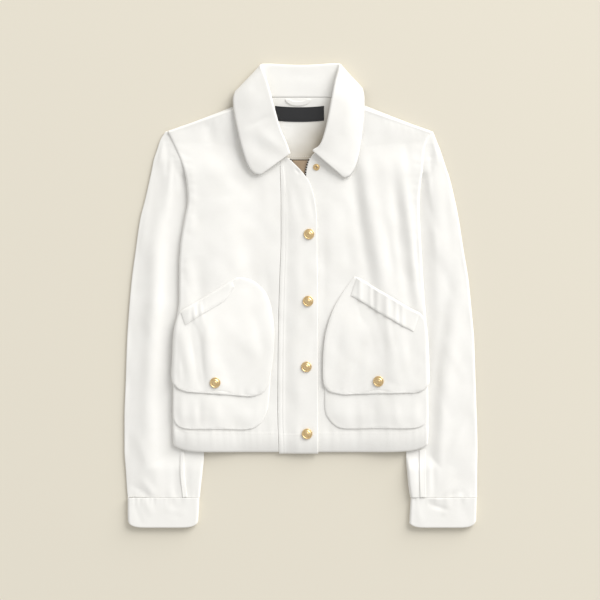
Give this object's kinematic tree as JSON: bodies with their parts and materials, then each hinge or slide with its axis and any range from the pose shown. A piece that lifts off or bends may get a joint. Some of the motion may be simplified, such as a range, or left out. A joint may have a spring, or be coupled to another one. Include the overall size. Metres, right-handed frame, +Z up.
{
  "type": "barn jacket",
  "caption": "Cropped barn jacket in heavy white twill, laid flat on its back, with a folded collar, snapped placket over a zip, flap patch pockets and banded cuffs.",
  "frame": {"origin": "middle of the jacket's outline, on the surface that it lies on", "axes": "+X towards the wearer's left, +Y up along the body towards the collar, +Z up from the surface"},
  "size_m": [0.5315, 0.697, 0.0225],
  "materials": {
    "twill": "matte cotton twill, washed",
    "lining": "smooth woven lining",
    "label": "plain woven satin",
    "tape": "ribbed zip tape",
    "brass": "polished, lightly worn"
  },
  "bodies": {
    "root": {"back": "twill", "back_facing": "twill", "back_lining": "lining", "collar": "twill", "cuff_left": "twill", "cuff_right": "twill", "flap_snap_left": "brass", "flap_snap_right": "brass", "front_left": "twill", "front_placket": "twill", "front_right": "twill", "hanger_loop": "twill", "neck_label": "label", "neck_stud": "brass", "placket_snap_1": "brass", "placket_snap_2": "brass", "placket_snap_3": "brass", "placket_snap_4": "brass", "pocket_band_left": "twill", "pocket_band_right": "twill", "pocket_flap_left": "twill", "pocket_flap_right": "twill", "pocket_patch_left": "twill", "pocket_patch_right": "twill", "sleeve_under_left": "twill", "sleeve_under_right": "twill", "sleeve_upper_left": "twill", "sleeve_upper_right": "twill", "sleeve_vent_left": "twill", "sleeve_vent_right": "twill", "zip_tape_left": "tape", "zip_tape_right": "tape"}
  },
  "joints": []
}
